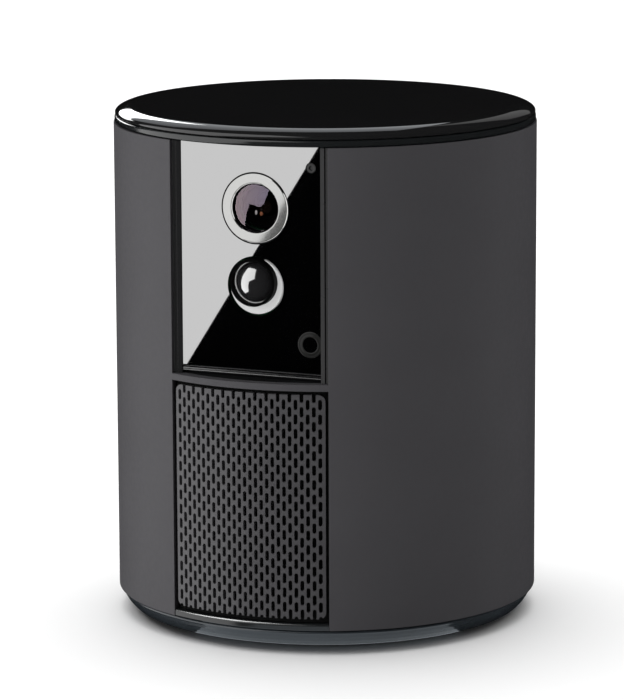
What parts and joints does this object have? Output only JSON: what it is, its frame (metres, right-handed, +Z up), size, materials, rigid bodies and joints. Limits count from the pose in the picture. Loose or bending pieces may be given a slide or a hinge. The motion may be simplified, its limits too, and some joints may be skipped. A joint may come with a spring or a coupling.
{
  "type": "security camera",
  "caption": "Upright cylindrical indoor security camera with a flat gloss lid, a recessed lens window, a motion sensor and a slotted speaker grille on a gloss foot ring.",
  "frame": {"origin": "centre of the plane that the feet stand on", "axes": "+Z up along the case's axis, the lens window faces -Y, +X is to the right when the window is looked at"},
  "size_m": [0.09, 0.09, 0.1093],
  "materials": {
    "antenna_gold": "gold flash",
    "base_gloss": "gloss blue-grey",
    "base_grey": "fine texture black",
    "board_green": "solder mask",
    "button_grey": "matt",
    "cable_white": "flat flexible cable",
    "chip_black": "moulded epoxy",
    "clear_filter": "coated filter glass",
    "cone_black": "coated paper",
    "copper": "enamelled copper wire",
    "dome_black": "high gloss black",
    "feet_rubber": "matt rubber",
    "frame_black": "satin black",
    "grille_grey": "fine matt dark grey",
    "heat_sink": "extruded",
    "inner_black": "moulded black",
    "lamp_clear": "clear epoxy",
    "lens_glass": "coated glass",
    "lens_silver": "satin silver",
    "lid_black": "high gloss black",
    "magnet": "zinc plated",
    "mesh_black": "acoustic cloth",
    "motor_metal": "plated can",
    "optic_black": "matt black",
    "pir_silver": "bright silver",
    "plunger_red": "moulded",
    "port_metal": "plated shell",
    "sensor_glass": "sensor window",
    "shell_grey": "soft-touch matte dark grey",
    "shutter_grey": "matt light grey",
    "steel": "plain steel",
    "surround_rubber": "rubber roll",
    "trim_gloss": "gloss dark grey",
    "window_black": "high gloss black"
  },
  "bodies": {
    "case": {"body_shell": "shell_grey", "top_lid": "lid_black", "top_trim_ring": "trim_gloss", "window_frame": "frame_black", "front_glass": "window_black", "lens_ring": "lens_silver", "lens_sleeve": "optic_black", "lens_window": "lens_glass", "lens_barrel": "optic_black", "lens_elements": "lens_glass", "lens_holder": "optic_black", "shutter_plate": "inner_black", "shutter_motor": "motor_metal", "ircut_housing": "inner_black", "ircut_coil": "copper", "image_sensor": "sensor_glass", "sensor_board": "board_green", "pir_ring": "pir_silver", "pir_collar": "dome_black", "pir_dome": "dome_black", "pir_sensor": "steel", "lamp_cups": "inner_black", "ir_lamps": "lamp_clear", "microphone": "motor_metal", "front_board": "board_green", "grille_panel": "grille_grey", "acoustic_mesh": "mesh_black", "lower_trim": "lid_black", "speaker_basket": "motor_metal", "speaker_surround": "surround_rubber", "speaker_magnet": "magnet", "speaker_gasket": "surround_rubber", "chassis": "inner_black", "main_board": "board_green", "board_chips": "chip_black", "heat_sink": "heat_sink", "antenna": "antenna_gold", "ribbon_cables": "cable_white", "power_board": "board_green", "usb_socket": "port_metal", "port_recess": "frame_black", "base_ring": "base_gloss", "base_plate": "base_grey", "base_screws": "steel", "feet": "feet_rubber", "reset_switch": "chip_black"},
    "shutter": {"shutter_blade": "shutter_grey", "shutter_shaft": "steel"},
    "filter_slide": {"ircut_carrier": "inner_black", "ircut_filters": "clear_filter"},
    "filter_rotor": {"ircut_rotor": "magnet"},
    "cone": {"speaker_cone": "cone_black", "speaker_coil": "copper"},
    "button": {"reset_button": "button_grey"},
    "plunger": {"reset_plunger": "plunger_red"}
  },
  "joints": [
    {"name": "shutter_swing", "type": "hinge", "parent": "case", "child": "shutter", "pos_m": [0.0085, -0.0342, 0.0826], "axis": [0, -1, 0], "range_deg": [0, 75]},
    {"name": "rotor_turn", "type": "hinge", "parent": "case", "child": "filter_rotor", "pos_m": [0, -0.018, 0.0831], "axis": [0, 1, 0], "range_deg": [-0.01, 73.76]},
    {"name": "filter_shift", "type": "slide", "parent": "case", "child": "filter_slide", "axis": [1, 0, 0], "range_m": [0, 0.006]},
    {"name": "cone_travel", "type": "slide", "parent": "case", "child": "cone", "axis": [0, -1, 0], "range_m": [-0.0005, 0.0005], "stiffness_N_per_m": 1500},
    {"name": "button_press", "type": "slide", "parent": "case", "child": "button", "axis": [0, 0, 1], "range_m": [0, 0.0004], "stiffness_N_per_m": 300},
    {"name": "plunger_press", "type": "slide", "parent": "case", "child": "plunger", "axis": [0, 0, 1], "range_m": [0, 0.0004]}
  ],
  "couplings": [
    {"joint": "rotor_turn", "follows": "filter_shift", "rad_per_m": 214.5},
    {"joint": "plunger_press", "follows": "button_press", "ratio": 1}
  ]
}
